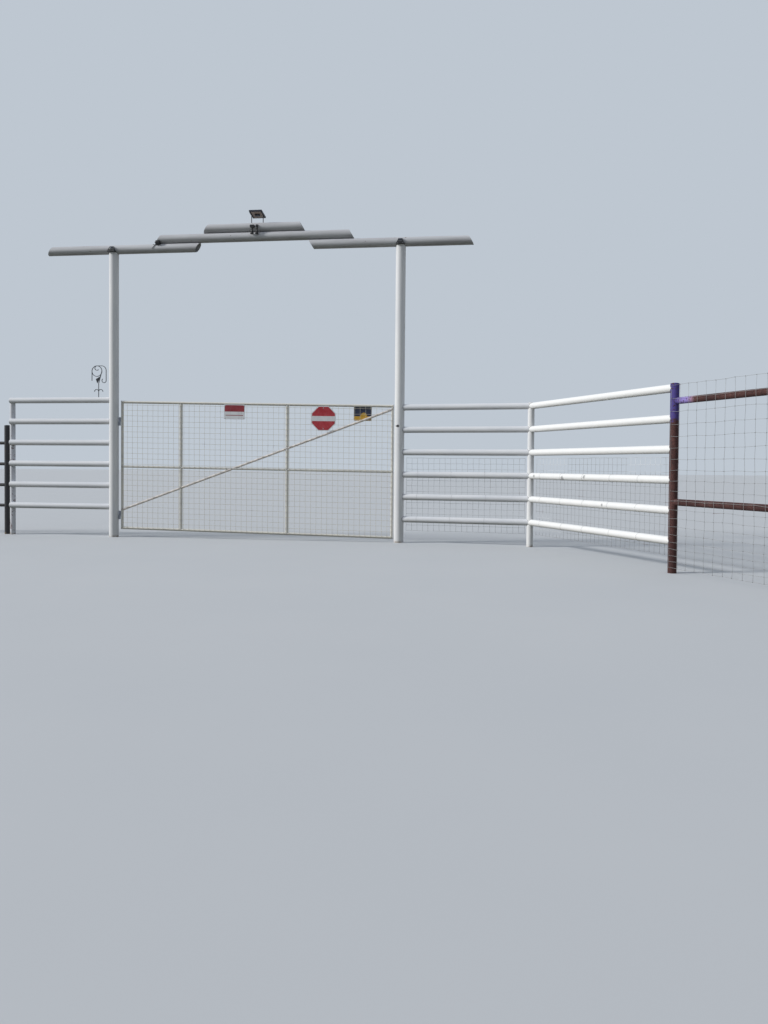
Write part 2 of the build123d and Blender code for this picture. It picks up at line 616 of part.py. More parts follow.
def make_ornament():
    """Wrought ornament: a stem and a leaf that carry a ring with a curl in it. A tail hangs from
    the ring on one side, and a strand that leaves its crown hangs down on the other."""
    ring_x, ring_height = RING_CENTRE
    left, right, crown = ring_x - RING_RADIUS, ring_x + RING_RADIUS, ring_height + RING_RADIUS
    outline = straight_bar((0, -RAIL_OD / 2), (0, SCROLL_STEM))
    outline += straight_bar((0, SCROLL_STEM), (right, ring_height))
    outline += make_face(Polyline(*LEAF, close=True))
    for start in (0, 180):
        outline += bent_bar(RING_CENTRE, RING_RADIUS, start, 180)
    outline += straight_bar((left, ring_height), (left, ring_height - TAIL_DROP))
    outline += bent_bar((ring_x, crown - CURL_RADIUS), CURL_RADIUS, 90, CURL_TURN)

    strand_x, strand_low = STRAND_LEAD + STRAND_RADIUS, crown - STRAND_RADIUS - STRAND_DROP
    outline += straight_bar((ring_x, crown), (STRAND_LEAD, crown))
    outline += bent_bar((STRAND_LEAD, crown - STRAND_RADIUS), STRAND_RADIUS, 0, 90)
    outline += straight_bar((strand_x, crown - STRAND_RADIUS), (strand_x, strand_low))
    outline += bent_bar((strand_x - CURL_RADIUS, strand_low), CURL_RADIUS, 0, -CURL_TURN)
    for side in (-1, 1):
        outline += bent_bar((side * CURL_RADIUS, BASE_CURL_HEIGHT), CURL_RADIUS, 0, 180)
    plate = extrude(Plane.XZ * outline, amount=SCROLL_DEPTH / 2, both=True)
    start, end = left_rail_ends(LEFT_TOP_RAIL)
    place = Pos(SCROLL_X, start[1] * SCROLL_X / start[0], LEFT_TOP_RAIL + RAIL_OD / 2)
    save("scroll_ornament", place * plate - solid_bar(start, end, RAIL_OD))


def main():
    """Write every piece of the gateway."""
    os.makedirs("parts", exist_ok=True)
    make_gateway()
    make_leaf()
    make_mesh()
    make_hinges()
    make_left_wing()
    make_right_wing()
    make_brace_panel()
    make_black_fence()
    make_solar_light()
    make_ornament()


main()
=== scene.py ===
import math
import random

import bpy
from mathutils import Matrix, Vector


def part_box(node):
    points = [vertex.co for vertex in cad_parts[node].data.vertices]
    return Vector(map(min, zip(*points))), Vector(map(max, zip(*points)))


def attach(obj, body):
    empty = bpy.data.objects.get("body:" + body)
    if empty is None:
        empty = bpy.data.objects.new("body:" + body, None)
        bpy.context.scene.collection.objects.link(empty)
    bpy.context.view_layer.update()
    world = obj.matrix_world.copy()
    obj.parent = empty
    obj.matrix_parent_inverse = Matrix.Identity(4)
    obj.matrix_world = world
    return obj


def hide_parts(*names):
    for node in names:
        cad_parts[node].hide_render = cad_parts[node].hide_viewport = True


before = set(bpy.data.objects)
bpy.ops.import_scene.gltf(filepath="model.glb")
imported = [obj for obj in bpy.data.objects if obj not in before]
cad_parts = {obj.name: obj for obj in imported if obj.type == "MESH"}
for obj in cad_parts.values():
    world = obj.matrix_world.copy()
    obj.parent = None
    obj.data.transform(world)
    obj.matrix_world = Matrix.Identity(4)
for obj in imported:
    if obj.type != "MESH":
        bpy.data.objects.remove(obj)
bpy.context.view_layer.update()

# Camera of the photograph, in its own pixels
CAMERA_PLACE = Vector((6.931, -13.954, 1.400))
FOCAL_PX = 770.0
FRAME_LONG_PX = 1024.0
FRAME_WIDE_PX = 768.0
OPTICAL_ROW = 482.2
OPTICAL_COLUMN = 384.7
SENSOR_MM = 36.0
YAW = math.radians(-7.04)
PITCH = math.radians(1.237)
ROLL = math.radians(0.453)
SIGHT_REACH = 400

# Light and floor
SUN_STRENGTH = 2.8
SUN_WIDTH = math.radians(10)
SUN_COLOUR = (1.0, 0.98, 0.95)
SUN_SHINES = Vector((0.85, 0.26, -0.48))
AMBIENT = (0.355, 0.388, 0.44, 1)
FLOOR_REACH = 150

# Sizes that the frame's pieces have, in metres
POST_SPACING = 5.470
POST_RADIUS = 0.0889
ARCH_RADIUS = 0.08415
LOW_AXIS = 5.44915
HINGE_STILE_X = 0.168
LATCH_STILE_X = 5.3417
GATE_TOP = 2.569
GATE_BOTTOM = 0.176
GATE_SAG = 0.088
GATE_SLOPE = GATE_SAG / (LATCH_STILE_X - HINGE_STILE_X)
GATE_TUBE_RADIUS = 0.0254
GATE_FRONT_Y = -GATE_TUBE_RADIUS
UPRIGHT_RADIUS = 0.03015
UPRIGHTS_X = (1.329, 3.379)
MID_RAIL_RADIUS = 0.02225
MID_RAIL_HEIGHTS = (1.346, 1.286)
BRACE_RADIUS = 0.0211
BRACE_HEIGHTS = (0.520, 2.423)
MESH_PITCH = 0.1016
MESH_FIRST_WIRE = 0.010
RAIL_RADIUS = 0.056
RAIL_PITCH = 0.4064
RAIL_COUNT = 6
LEFT_TOP_RAIL = 2.607
RIGHT_TOP_RAIL = 2.458
LEFT_END_POST = (-2.137, 0.104)
LEFT_END_RADIUS = 0.0508
LEFT_RAIL_OVERRUN = 0.010
LEFT_RAIL_NOTCH = 0.053
LINE_POST = (7.808, -0.299)
FENCE_POST_RADIUS = 0.05715
NET_PITCH = 0.1016
NET_TOP = 1.5416
NET_HEIGHT = 1.3208
BRACE_POST = (9.484, -3.333)
# Bays of the right wing: start, end, and radius of the post at the start
RIGHT_BAYS = (((POST_SPACING, 0), LINE_POST, POST_RADIUS),
              (LINE_POST, BRACE_POST, FENCE_POST_RADIUS))
BRACE_BAY = 2.440
BRACE_RAIL_RADIUS = 0.04445
BRACE_RAIL_HEIGHTS = (2.285, 0.945)
HIGH_NET_STAY_PITCH = 0.1524
HIGH_NET_TOP = 2.490
HIGH_NET_BOTTOM = 0.080
HIGH_NET_LINES = 20
HIGH_NET_FIRST_GAP = 0.076
BLACK_POST_NEAR = (-2.270, 0.142)
BLACK_POST_FAR = (-4.710, 0.142)
BLACK_RAIL_RADIUS = 0.03015
BLACK_RAIL_HEIGHTS = (1.783, 1.375, 0.965, 0.564)
PANEL_TILT = math.radians(-8)
PANEL_OVER_PIPE = 0.165
POST_LIGHT_CENTRE = Vector((0, -0.12615, 5.438))
POST_LIGHT_LEAN = 0.4
LAMP_AXIS_IN = 0.023

# Wire of the gate's mesh and of the nets. The level wires lie a few wire radii in front of the
# upright ones, and the plates lie in front of both.
MESH_WIRE_RADIUS = 0.0024
NET_WIRE_RADIUS = 0.0018
LEVEL_WIRE_LIFT = 2.7
MESH_DEPTH = 4.7 * MESH_WIRE_RADIUS
MESH_SWAY = 0.0015
NET_SWAY = 0.004
HIGH_NET_SWAY = 0.007

# Sizes of the weld beads
RAIL_BEAD = 0.0035
POST_TOP_BEAD = 0.0045
STITCH_BEAD = 0.005
GATE_BEAD = 0.0028
GATE_RAIL_BEAD = 0.0026
STITCH_LENGTH = 0.075
STITCH_PITCH = 0.30
STITCH_INSET = 0.11
STITCH_STEPS = 12
GROOVE_Y = 0.026

# Plates on the gate: width and height, then the middle, and how far each drops in a metre
LEFT_SIGN_SIZE = (0.400, 0.276)
LEFT_SIGN_PLACE = (2.381, 2.377)
LEFT_SIGN_DROP = 0.018
ROUND_SIGN_WIDTH = 0.457
ROUND_SIGN_PLACE = (4.070, 2.257)
ROUND_SIGN_DROP = 0.012
RIGHT_SIGN_SIZE = (0.333, 0.261)
RIGHT_SIGN_PLACE = (4.790, 2.347)
RIGHT_SIGN_DROP = 0.015
RIGHT_SIGN_Y = 0.0205
FRONT_SIGN_Y = GATE_FRONT_Y - MESH_DEPTH - 0.0012
PLATE_THICKNESS = 0.002
PLATE_CHAMFER = 0.0006
FILM_THICKNESS = 0.0005
FILM_CHAMFER = 0.0003
ON_PLATE = 0.002
ON_FILM = 0.0026

# Lights and lamps: sizes and places on a light's face, and (radius, height) profiles on a lamp
LIGHT_LENS_SIZE = (0.068, 0.028)
LIGHT_LENS_SINK = 0.004
LIGHT_CELL_SIZE = (0.066, 0.026)
LIGHT_CELL_RISE = 0.033
LIGHT_SCREWS = ((-0.050, -0.040), (0.050, -0.040), (-0.044, 0.012), (0.044, 0.012))
SCREW_PROFILE = ((0.0042, 0), (0.0042, 0.0012), (0.0026, 0.0024))
LAMP_LENS_PROFILE = ((0.019, 0.0008), (0.0205, -0.0005), (0.015, -0.0022))
LAMP_SHADE_PROFILE = ((0.0300, 0.001), (0.0320, 0.006), (0.0320, 0.022),
                      (0.0270, 0.034), (0.0170, 0.045))
LAMP_SLEEVE_PROFILE = ((0.0160, 0.047), (0.0160, 0.055), (0.0140, 0.060),
                       (0.0140, 0.088), (0.0175, 0.094), (0.0175, 0.106))
LAMP_SHADE_FORWARD = 0.007

# Clamp at the low tip of the middle arch pipe, and the lines of its two stiff wire ends
CLAMP_PLACE = (0.900, -0.060, 5.541)
CLAMP_BODY = (0.085, 0.078)
CLAMP_DEPTH = 0.042
CLAMP_BAND = (0.098, 0.026)
CLAMP_BAND_DEPTH = 0.048
CLAMP_BOLTS = ((-0.026, 0), (0.026, 0))
CLAMP_BOLT_LIFT = 0.044
CLAMP_BOLT_RADIUS = 0.008
CLAMP_WIRE_RADIUS = 0.0045
CLAMP_WIRES = (
    ((0.872, -0.070, 5.516), (0.846, -0.079, 5.492), (0.822, -0.0865, 5.468),
     (0.802, -0.0885, 5.446), (0.794, -0.0880, 5.430)),
    ((0.872, -0.064, 5.512), (0.846, -0.066, 5.507), (0.822, -0.070, 5.505),
     (0.806, -0.078, 5.511)),
)

# Solar panel: sheets and cells, from the middle of the panel
BACK_SHEET_SIZE = (0.196, 0.236)
BACK_SHEET_DROP = 0.0125
BACKING_SIZE = (0.216, 0.266)
BACKING_LIFT = 0.0095
BACKING_THICKNESS = 0.0008
CELL_COLUMNS = 4
CELL_ROWS = 5
CELL_PITCH_X = 0.052
CELL_PITCH_Y = 0.0515
CELL_GAP = 0.003
CELL_THICKNESS = 0.0006
STRIP_WIDTH = 0.0012
STRIP_SHIFT = 0.011

# Ties between the nets and the rails
TIED_RAILS = 3
TIE_START = 0.35
TIE_PITCH = 0.61
TIE_END = 0.2
TIE_SCATTER = 0.03
TIE_GAP = 0.0048
TIE_SKEW = 0.004
TIE_WIRE_RADIUS = 0.0011

# Where paint, painted sunlit patches and scuffs lie
PURPLE_PAINT_BOTTOM = 2.015
PURPLE_PAINT_REACH = 0.370
MUD_HEIGHT = 0.10
# Parts of the second bay's net whose wires are whitened as painted sunlight: lowest and highest y,
# then z
NET_SUNLIT_PATCHES = ((-1.154, -0.362, 1.318, 1.560), (-3.058, -2.446, 1.330, 1.560),
                (-0.787, -0.335, 0.505, 0.600), (-1.043, -0.311, 0.265, 0.370))
# Scuffs on the second bay's rails: a point on the rail, and the scuff's reach
RAIL_SCUFFS = (((8.254, -1.209, 1.215), 0.060), ((8.535, -1.719, 1.250), 0.045),
               ((7.856, -0.489, 1.241), 0.040), ((8.752, -2.112, 0.835), 0.035))

UP = Vector((0, 0, 1))
RIGHT = (1, 0, 0)
TO_ROAD = (0, -1, 0)

draw = random.Random(8468)


# Colours and materials


def srgb(red, green, blue):
    """Linear colour of a screen colour that is given from 0 to 255."""
    def linear(value):
        share = value / 255
        return share / 12.92 if share <= 0.04045 else ((share + 0.055) / 1.055) ** 2.4
    return linear(red), linear(green), linear(blue), 1.0


class Look:
    """A material in the making, with short ways to add and join its nodes."""

    def __init__(self, name, roughness=0.5, metallic=0.0):
        self.material = bpy.data.materials.new(name)
        self.material.use_nodes = True
        self.tree = self.material.node_tree
        self.shader = self.tree.nodes["Principled BSDF"]
        self.shader.inputs["Roughness"].default_value = roughness
        self.shader.inputs["Metallic"].default_value = metallic
        self.coordinates = self.node("ShaderNodeTexCoord")
        self.place = self.coordinates.outputs["Object"]

    def node(self, kind):
        return self.tree.nodes.new(kind)

    def put(self, value, socket):
        """Give a socket a number, a colour or another node's output."""
        if isinstance(value, bpy.types.NodeSocket):
            self.tree.links.new(value, socket)
        else:
            socket.default_value = value

    def math(self, operation, first, second):
        node = self.node("ShaderNodeMath")
        node.operation = operation
        self.put(first, node.inputs[0])
        self.put(second, node.inputs[1])
        return node.outputs[0]

    def times(self, first, second):
        return self.math("MULTIPLY", first, second)

    def coordinate(self, axis, kind="Object"):
        node = self.node("ShaderNodeSeparateXYZ")
        self.put(self.coordinates.outputs[kind], node.inputs[0])
        return node.outputs[axis]

    def facing_up(self):
        return self.coordinate("Z", "Normal")

    def noise(self, scale, detail=3.0, stretch=(1, 1, 1), roughness=0.55):
        """Noise from 0 to 1 with so many waves a metre."""
        mapping = self.node("ShaderNodeMapping")
        self.put(self.place, mapping.inputs["Vector"])
        mapping.inputs["Scale"].default_value = stretch
        texture = self.node("ShaderNodeTexNoise")
        self.put(mapping.outputs[0], texture.inputs["Vector"])
        texture.inputs["Scale"].default_value = scale
        texture.inputs["Detail"].default_value = detail
        texture.inputs["Roughness"].default_value = roughness
        return texture.outputs["Fac"]

    def mapped(self, value, low, high, low_result, high_result, smooth=False):
        """A value's place between two limits, carried over to two results."""
        node = self.node("ShaderNodeMapRange")
        if smooth:
            node.interpolation_type = "SMOOTHSTEP"
        for given, socket in zip((value, low, high, low_result, high_result), node.inputs):
            self.put(given, socket)
        return node.outputs[0]

    def step(self, value, low, high):
        """0 where value is under low, 1 where it is over high, and smooth between them."""
        return self.mapped(value, low, high, 0.0, 1.0, smooth=True)

    def fade(self, value, start, end):
        """1 where value is at or before start, falling to 0 at end. Start may be over end."""
        return self.mapped(value, start, end, 1.0, 0.0)

    def between(self, value, low, high, soft):
        """1 where value lies between two limits, and 0 outside them."""
        return self.times(self.step(value, low - soft, low + soft),
                          self.fade(value, high - soft, high + soft))

    def distance(self, place, point):
        node = self.node("ShaderNodeVectorMath")
        node.operation = "DISTANCE"
        self.put(place, node.inputs[0])
        node.inputs[1].default_value = point
        return node.outputs["Value"]

    def close_to(self, point, reach):
        """1 near a point, falling to 0 at about its reach, with a ragged edge."""
        away = self.distance(self.place, point)
        ragged = self.times(self.noise(45, 4), reach)
        return self.fade(self.math("ADD", away, ragged), 0.9 * reach, 1.3 * reach)

    def mix(self, factor, first, second):
        node = self.node("ShaderNodeMix")
        node.data_type = "RGBA"
        self.put(factor, node.inputs[0])
        self.put(first, node.inputs[6])
        self.put(second, node.inputs[7])
        return node.outputs[2]

    def colour(self, value):
        self.put(value, self.shader.inputs["Base Color"])

    def rough(self, value, low, high):
        """Roughness that follows a value from 0 to 1."""
        self.put(self.mapped(value, 0.0, 1.0, low, high), self.shader.inputs["Roughness"])

    def bump(self, height, depth):
        """Surface relief, with its depth in metres."""
        node = self.node("ShaderNodeBump")
        node.inputs["Strength"].default_value = 1.0
        node.inputs["Distance"].default_value = depth
        self.put(height, node.inputs["Height"])
        self.put(node.outputs[0], self.shader.inputs["Normal"])


WHITE = srgb(232, 234, 238)
RUST = srgb(92, 54, 42)
MUD = srgb(138, 120, 98)
# Grey of brush marks, scuffs and dirt streaks, also used as painted shade under the pipes
GREY_DIRT_AND_SHADE = srgb(92, 92, 94)


def paint_look(name, paint, worn, stretch, chip_level, underside_shade, wear=0.7, scuffs=()):
    """Old brush paint on pipe: mottled, chipped to rust, darkened underneath with painted shade and
    muddy at the foot.
    """
    look = Look(name)
    mottle = look.noise(1.3, 6, stretch, 0.65)
    colour = look.mix(look.times(look.step(mottle, 0.30, 0.75), wear), paint, worn)
    brush = look.noise(60, 3, stretch)
    colour = look.mix(look.times(look.step(brush, 0.45, 0.8), 0.10), colour, GREY_DIRT_AND_SHADE)
    # Painted shade: faces that look down are mixed towards grey, by the paint's share of underside
    # shade
    under = look.times(look.fade(look.facing_up(), -0.95, -0.15), underside_shade)
    colour = look.mix(look.times(under, look.noise(9, 4, stretch)), colour, GREY_DIRT_AND_SHADE)
    chips = look.step(look.noise(26, 6), chip_level, chip_level + 0.06)
    patches = look.step(look.noise(1.7, 3), 0.50, 0.62)
    chipped = look.times(chips, patches)
    colour = look.mix(chipped, colour, RUST)
    for point, reach in scuffs:
        colour = look.mix(look.times(look.close_to(point, reach), 0.6), colour, GREY_DIRT_AND_SHADE)
    splash = look.times(look.fade(look.coordinate("Z"), 0.0, MUD_HEIGHT), look.noise(14, 4))
    colour = look.mix(look.step(splash, 0.25, 0.70), colour, MUD)
    look.colour(colour)
    look.rough(look.math("MAXIMUM", chipped, mottle), 0.38, 0.72)
    relief = look.math("SUBTRACT", look.times(brush, 0.35), chipped)
    look.bump(relief, 0.0006)
    return look.material


def purple_paint(look):
    """Where purple paint is left on top of the near post, and its colour, paler along the rail."""
    flat = look.node("ShaderNodeVectorMath")
    flat.operation = "MULTIPLY"
    look.put(look.place, flat.inputs[0])
    flat.inputs[1].default_value = (1, 1, 0)
    away = look.distance(flat.outputs[0], (*BRACE_POST, 0))
    edge = look.times(look.math("SUBTRACT", look.noise(22, 5), 0.5), 0.22)
    above = look.step(look.math("ADD", look.coordinate("Z"), edge),
                      PURPLE_PAINT_BOTTOM - 0.03, PURPLE_PAINT_BOTTOM + 0.03)
    near = look.fade(look.math("ADD", away, edge),
                     PURPLE_PAINT_REACH - 0.04, PURPLE_PAINT_REACH + 0.04)
    flaked = look.fade(look.noise(34, 6), 0.60, 0.64)
    painted = look.times(look.times(above, near), flaked)
    purple = look.mix(look.noise(6, 4), srgb(84, 73, 150), srgb(68, 58, 122))
    purple = look.mix(look.step(away, 0.06, 0.20), purple, srgb(150, 134, 204))
    purple = look.mix(look.step(away, 0.24, PURPLE_PAINT_REACH), purple, srgb(164, 128, 146))
    return painted, purple


def rust_look(name, with_paint=False):
    """Bare rusted pipe with scale and dark runs, with or without the purple paint."""
    look = Look(name, 0.85)
    coarse = look.noise(5, 5, (1, 1, 0.35))
    fine = look.noise(90, 5)
    runs = look.noise(2.5, 4, (1, 1, 0.2))
    colour = look.mix(look.step(coarse, 0.36, 0.72), srgb(70, 39, 37), srgb(96, 61, 56))
    colour = look.mix(look.step(fine, 0.48, 0.66), colour, srgb(34, 22, 23))
    colour = look.mix(look.step(runs, 0.56, 0.72), colour, srgb(58, 47, 51))
    relief = look.times(fine, 0.6)
    if with_paint:
        painted, purple = purple_paint(look)
        colour = look.mix(painted, colour, purple)
        relief = look.math("ADD", relief, painted)
    look.colour(colour)
    look.rough(fine, 0.7, 0.95)
    look.bump(relief, 0.0007)
    return look.material


def wire_look(name, bright, dull, rust_level, roughness, metallic, sunlit_patches):
    """Galvanised or painted wire, dull with age, rusty here and whitened as painted sunlight there.
    """
    look = Look(name, roughness, metallic)
    colour = look.mix(look.noise(7, 4), bright, dull)
    rusty = look.step(look.noise(3.1, 5), rust_level, rust_level + 0.12)
    colour = look.mix(rusty, colour, RUST)
    # Painted sunlight: wires inside each patch are mixed towards white in spots
    for low_y, high_y, low_z, high_z in sunlit_patches:
        in_sunlit_patch = look.times(look.between(look.coordinate("Y"), low_y, high_y, 0.05),
                            look.between(look.coordinate("Z"), low_z, high_z, 0.02))
        spots = look.step(look.noise(5, 3), 0.25, 0.45)
        colour = look.mix(look.times(in_sunlit_patch, spots), colour, WHITE)
    look.colour(colour)
    look.rough(rusty, roughness, 0.85)
    look.bump(look.noise(400, 2), 0.0002)
    return look.material


def steel_look(name, base, edge, roughness, metallic):
    """Dark or bare steel, or for the hinges white paint in painted shade, with blotches of rust."""
    look = Look(name, roughness, metallic)
    blotch = look.noise(24, 5)
    colour = look.mix(look.noise(70, 3), base, edge)
    rusty = look.step(blotch, 0.55, 0.68)
    look.colour(look.mix(rusty, colour, RUST))
    look.rough(rusty, roughness, 0.9)
    look.bump(look.noise(160, 4), 0.0004)
    return look.material


def plastic_look(name, base, faded):
    """Moulded plastic, faded and dusty on top."""
    look = Look(name, 0.45)
    dust = look.times(look.fade(look.facing_up(), 1.0, 0.1), look.noise(30, 4))
    look.colour(look.mix(dust, base, faded))
    look.rough(dust, 0.45, 0.8)
    look.bump(look.noise(900, 2), 0.0001)
    return look.material


def sheet_look(name, ink, faded):
    """Enamelled sheet: its colour is bleached in soft patches and streaked with dirt."""
    look = Look(name, 0.35)
    bleached = look.step(look.noise(9, 4), 0.35, 0.75)
    colour = look.mix(look.times(bleached, 0.55), ink, faded)
    streaks = look.step(look.noise(40, 4, (1, 1, 0.12)), 0.56, 0.8)
    look.colour(look.mix(look.times(streaks, 0.4), colour, GREY_DIRT_AND_SHADE))
    look.rough(bleached, 0.35, 0.6)
    look.bump(look.noise(50, 3), 0.0002)
    return look.material


def glass_look(name, tint, roughness):
    """Clear or dark lens with a glossy face."""
    look = Look(name, roughness)
    shade = tuple(0.8 * share for share in tint[:3]) + (1.0,)
    look.colour(look.mix(look.noise(60, 4), tint, shade))
    look.shader.inputs["Coat Weight"].default_value = 0.6
    look.rough(look.noise(30, 4), roughness, roughness + 0.2)
    return look.material


# Stretch of the paint's marks on upright and on level pipes
UPRIGHT_RUN = (6, 6, 0.7)
LEVEL_RUN = (0.7, 6, 6)

# Name, paint and worn paint, run, noise level where chips begin, share of painted shade underneath,
# and for the sunlit bay's lighter rails how far they are worn and their scuffs
PAINTS = (
    ("post_white", (236, 237, 238), (216, 219, 225), UPRIGHT_RUN, 0.70, 0.30),
    ("end_post_white", (222, 224, 230), (190, 194, 204), UPRIGHT_RUN, 0.58, 0.45),
    ("arch_white", (208, 210, 214), (172, 170, 174), LEVEL_RUN, 0.64, 0.85),
    ("rail_white", (232, 234, 238), (212, 217, 225), LEVEL_RUN, 0.70, 0.45),
    # Lighter copy of the rail paint as painted sunlight on the second bay; its lower wear and its
    # scuffs are the rails' own
    ("rail_white_painted_sun", (243, 244, 244), (232, 234, 237), LEVEL_RUN, 0.74, 0.45, 0.5, RAIL_SCUFFS),
    ("gate_paint", (232, 230, 222), (206, 208, 210), LEVEL_RUN, 0.68, 0.35),
    ("brace_paint", (238, 231, 226), (218, 211, 214), LEVEL_RUN, 0.66, 0.50),
    ("black_paint", (22, 22, 26), (34, 34, 38), LEVEL_RUN, 0.66, 0.20),
)

# Name, bright and dull wire, noise level where rust begins, roughness, metal and patches of painted
# sunlight
WIRES = (
    ("mesh_paint", (222, 216, 196), (186, 182, 170), 0.64, 0.55, 0.0, ()),
    ("net_wire", (186, 188, 188), (138, 140, 142), 0.60, 0.50, 0.3, ()),
    ("net_wire_painted_sun", (186, 188, 188), (138, 140, 142), 0.60, 0.50, 0.3, NET_SUNLIT_PATCHES),
)

# Name, two colours that mix, roughness and metal
STEELS = (
    ("dark_steel", (36, 38, 43), (60, 62, 68), 0.55, 0.4),
    # Hinges: white paint given the grey-blue it shows in shade, as painted shade, with rust blotches
    ("hinge_white_painted_shade", (136, 142, 156), (172, 178, 190), 0.55, 0.4),
    ("alloy", (150, 152, 156), (176, 178, 180), 0.40, 0.8),
    ("panel_frame", (34, 38, 50), (54, 58, 70), 0.45, 0.5),
    ("weld", (176, 178, 184), (120, 112, 106), 0.60, 0.1),
)

# Name, fresh and faded colour
SHEETS = (
    ("back_sheet", (172, 152, 142), (150, 136, 130)),
    ("cell_backing", (190, 194, 198), (206, 208, 210)),
    ("sign_red", (166, 32, 44), (196, 84, 92)),
    ("sign_dark_red", (132, 28, 40), (168, 74, 82)),
    ("sign_white", (224, 226, 230), (206, 208, 214)),
    ("sign_blue", (28, 38, 66), (58, 66, 92)),
    ("sign_yellow", (206, 160, 52), (196, 168, 92)),
)

looks = {
    "rusty_painted": rust_look("rusty_painted", with_paint=True),
    "rusty": rust_look("rusty"),
    "black_plastic": plastic_look("black_plastic", srgb(12, 13, 16), srgb(28, 28, 32)),
    "lens": glass_look("lens", srgb(74, 76, 78), 0.25),
    "solar_cell": glass_look("solar_cell", srgb(22, 30, 58), 0.12),
}
for make_look, rows in ((paint_look, PAINTS), (wire_look, WIRES), (steel_look, STEELS),
                        (sheet_look, SHEETS)):
    for look_name, fresh, old, *settings in rows:
        looks[look_name] = make_look(look_name, srgb(*fresh), srgb(*old), *settings)

NODE_LOOKS = {
    "post_white": ("left_gate_post", "right_gate_post", "right_line_post"),
    "end_post_white": ("left_end_post",),
    "arch_white": ("arch_pipe_left", "arch_pipe_right", "arch_pipe_middle", "arch_pipe_top"),
    "rail_white": ("left_wing_rails", "right_wing_rails_1"),
    "rail_white_painted_sun": ("right_wing_rails_2",),
    "gate_paint": ("gate_top_rail", "gate_bottom_rail", "gate_hinge_stile", "gate_latch_stile",
                   "gate_mid_rail", "gate_upright_1", "gate_upright_2"),
    "brace_paint": ("gate_brace",),
    "mesh_paint": ("gate_mesh_1", "gate_mesh_2", "gate_mesh_3", "gate_mesh_4"),
    "net_wire": ("right_net_1", "right_net_2", "right_net_3", "high_net"),
    "rusty_painted": ("brace_post_near", "brace_top_rail"),
    "rusty": ("brace_post_far", "brace_mid_rail"),
    "black_paint": ("black_post_near", "black_post_far", "black_rails"),
    "dark_steel": ("scroll_ornament", "solar_panel_stand"),
    "hinge_white_painted_shade": ("lower_hinge_pin", "upper_hinge_pin", "lower_hinge_barrel",
                    "upper_hinge_barrel"),
    "black_plastic": ("left_post_light", "right_post_light", "left_lamp", "right_lamp"),
    "panel_frame": ("solar_panel",),
}


def dress_nodes():
    """Give every piece of the frame its material."""
    for look, nodes in NODE_LOOKS.items():
        for node in nodes:
            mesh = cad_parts[node].data
            mesh.materials.clear()
            mesh.materials.append(looks[look])


# Mesh building


def add_object(name, data):
    """New object in the scene, for a mesh, a light or a camera."""
    holder = bpy.data.objects.new(name, data)
    bpy.context.scene.collection.objects.link(holder)
    return holder


class Batch:
    """Vertices and faces of many small shapes that make one piece."""

    def __init__(self):
        self.points = []
        self.faces = []

    def add(self, points, faces):
        first = len(self.points)
        self.points += points
        self.faces += [[first + corner for corner in face] for face in faces]

    def build(self, name, look, body, slot, smooth=True):
        mesh = bpy.data.meshes.new(name)
        mesh.from_pydata(self.points, [], self.faces)
        mesh.polygons.foreach_set("use_smooth", [smooth] * len(mesh.polygons))
        mesh.materials.append(looks[look])
        piece = add_object(name, mesh)
        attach(piece, body)
        return piece


def turns(count):
    """Angles that share out one full turn."""
    return [2 * math.pi * number / count for number in range(count)]


def ring(centre, first, second, radius, sides):
    """Points of a circle, from its centre and two directions in its plane."""
    return [centre + radius * (math.cos(turn) * first + math.sin(turn) * second)
            for turn in turns(sides)]


def walls(rings, sides, closed=False):
    """Faces between rings of points. A closed row also joins its last ring to its first."""
    faces = []
    for place in range(rings if closed else rings - 1):
        here, following = place * sides, (place + 1) % rings * sides
        for side in range(sides):
            beside = (side + 1) % sides
            faces.append((here + side, here + beside, following + beside, following + side))
    return faces


def caps(rings, sides):
    """Faces that close the first and the last ring of a row."""
    return [tuple(reversed(range(sides))), tuple(range((rings - 1) * sides, rings * sides))]


def sweep(line, radius, sides=6):
    """Round bar along an open line. The radius is a number or a list, one for each point."""
    line = [Vector(point) for point in line]
    radii = radius if isinstance(radius, list) else [radius] * len(line)
    points, normal = [], None
    for place, (point, thickness) in enumerate(zip(line, radii)):
        along = (line[min(place + 1, len(line) - 1)] - line[max(place - 1, 0)]).normalized()
        normal = along.orthogonal() if normal is None else normal - along * normal.dot(along)
        normal = normal.normalized()
        points += ring(point, normal, along.cross(normal), thickness, sides)
    return points, walls(len(line), sides) + caps(len(line), sides)


def loop_sweep(line, radius, sides=5):
    """Round bar along a closed line. The radius is a number or a list."""
    line = [Vector(point) for point in line]
    count = len(line)
    radii = radius if isinstance(radius, list) else [radius] * count
    centre = sum(line, Vector()) / count
    points = []
    for place, (point, thickness) in enumerate(zip(line, radii)):
        along = (line[(place + 1) % count] - line[place - 1]).normalized()
        normal = point - centre
        normal = (normal - along * normal.dot(along)).normalized()
        points += ring(point, normal, along.cross(normal), thickness, sides)
    return points, walls(count, sides, closed=True)


def turned(profile, centre, axis, sides):
    """Turned shape: a profile of (radius, height) pairs round an axis, from its foot to its tip."""
    axis = Vector(axis).normalized()
    normal = axis.orthogonal().normalized()
    other = axis.cross(normal)
    centre = Vector(centre)
    points = []
    for radius, height in profile:
        points += ring(centre + axis * height, normal, other, radius, sides)
    return points, walls(len(profile), sides) + caps(len(profile), sides)


def slab(outline, depth, chamfer, place):
    """Flat plate with a chamfered front edge, from an outline about its middle. The X, Y and Z of
    its place run across it, up it and out of its front."""
    inner = 1 - chamfer / max(math.hypot(across, up) for across, up in outline)
    points = []
    for share, height in ((1, 0), (1, depth - chamfer), (inner, depth)):
        points += [place @ Vector((across * share, up * share, height)) for across, up in outline]
    return points, walls(3, len(outline)) + caps(3, len(outline))


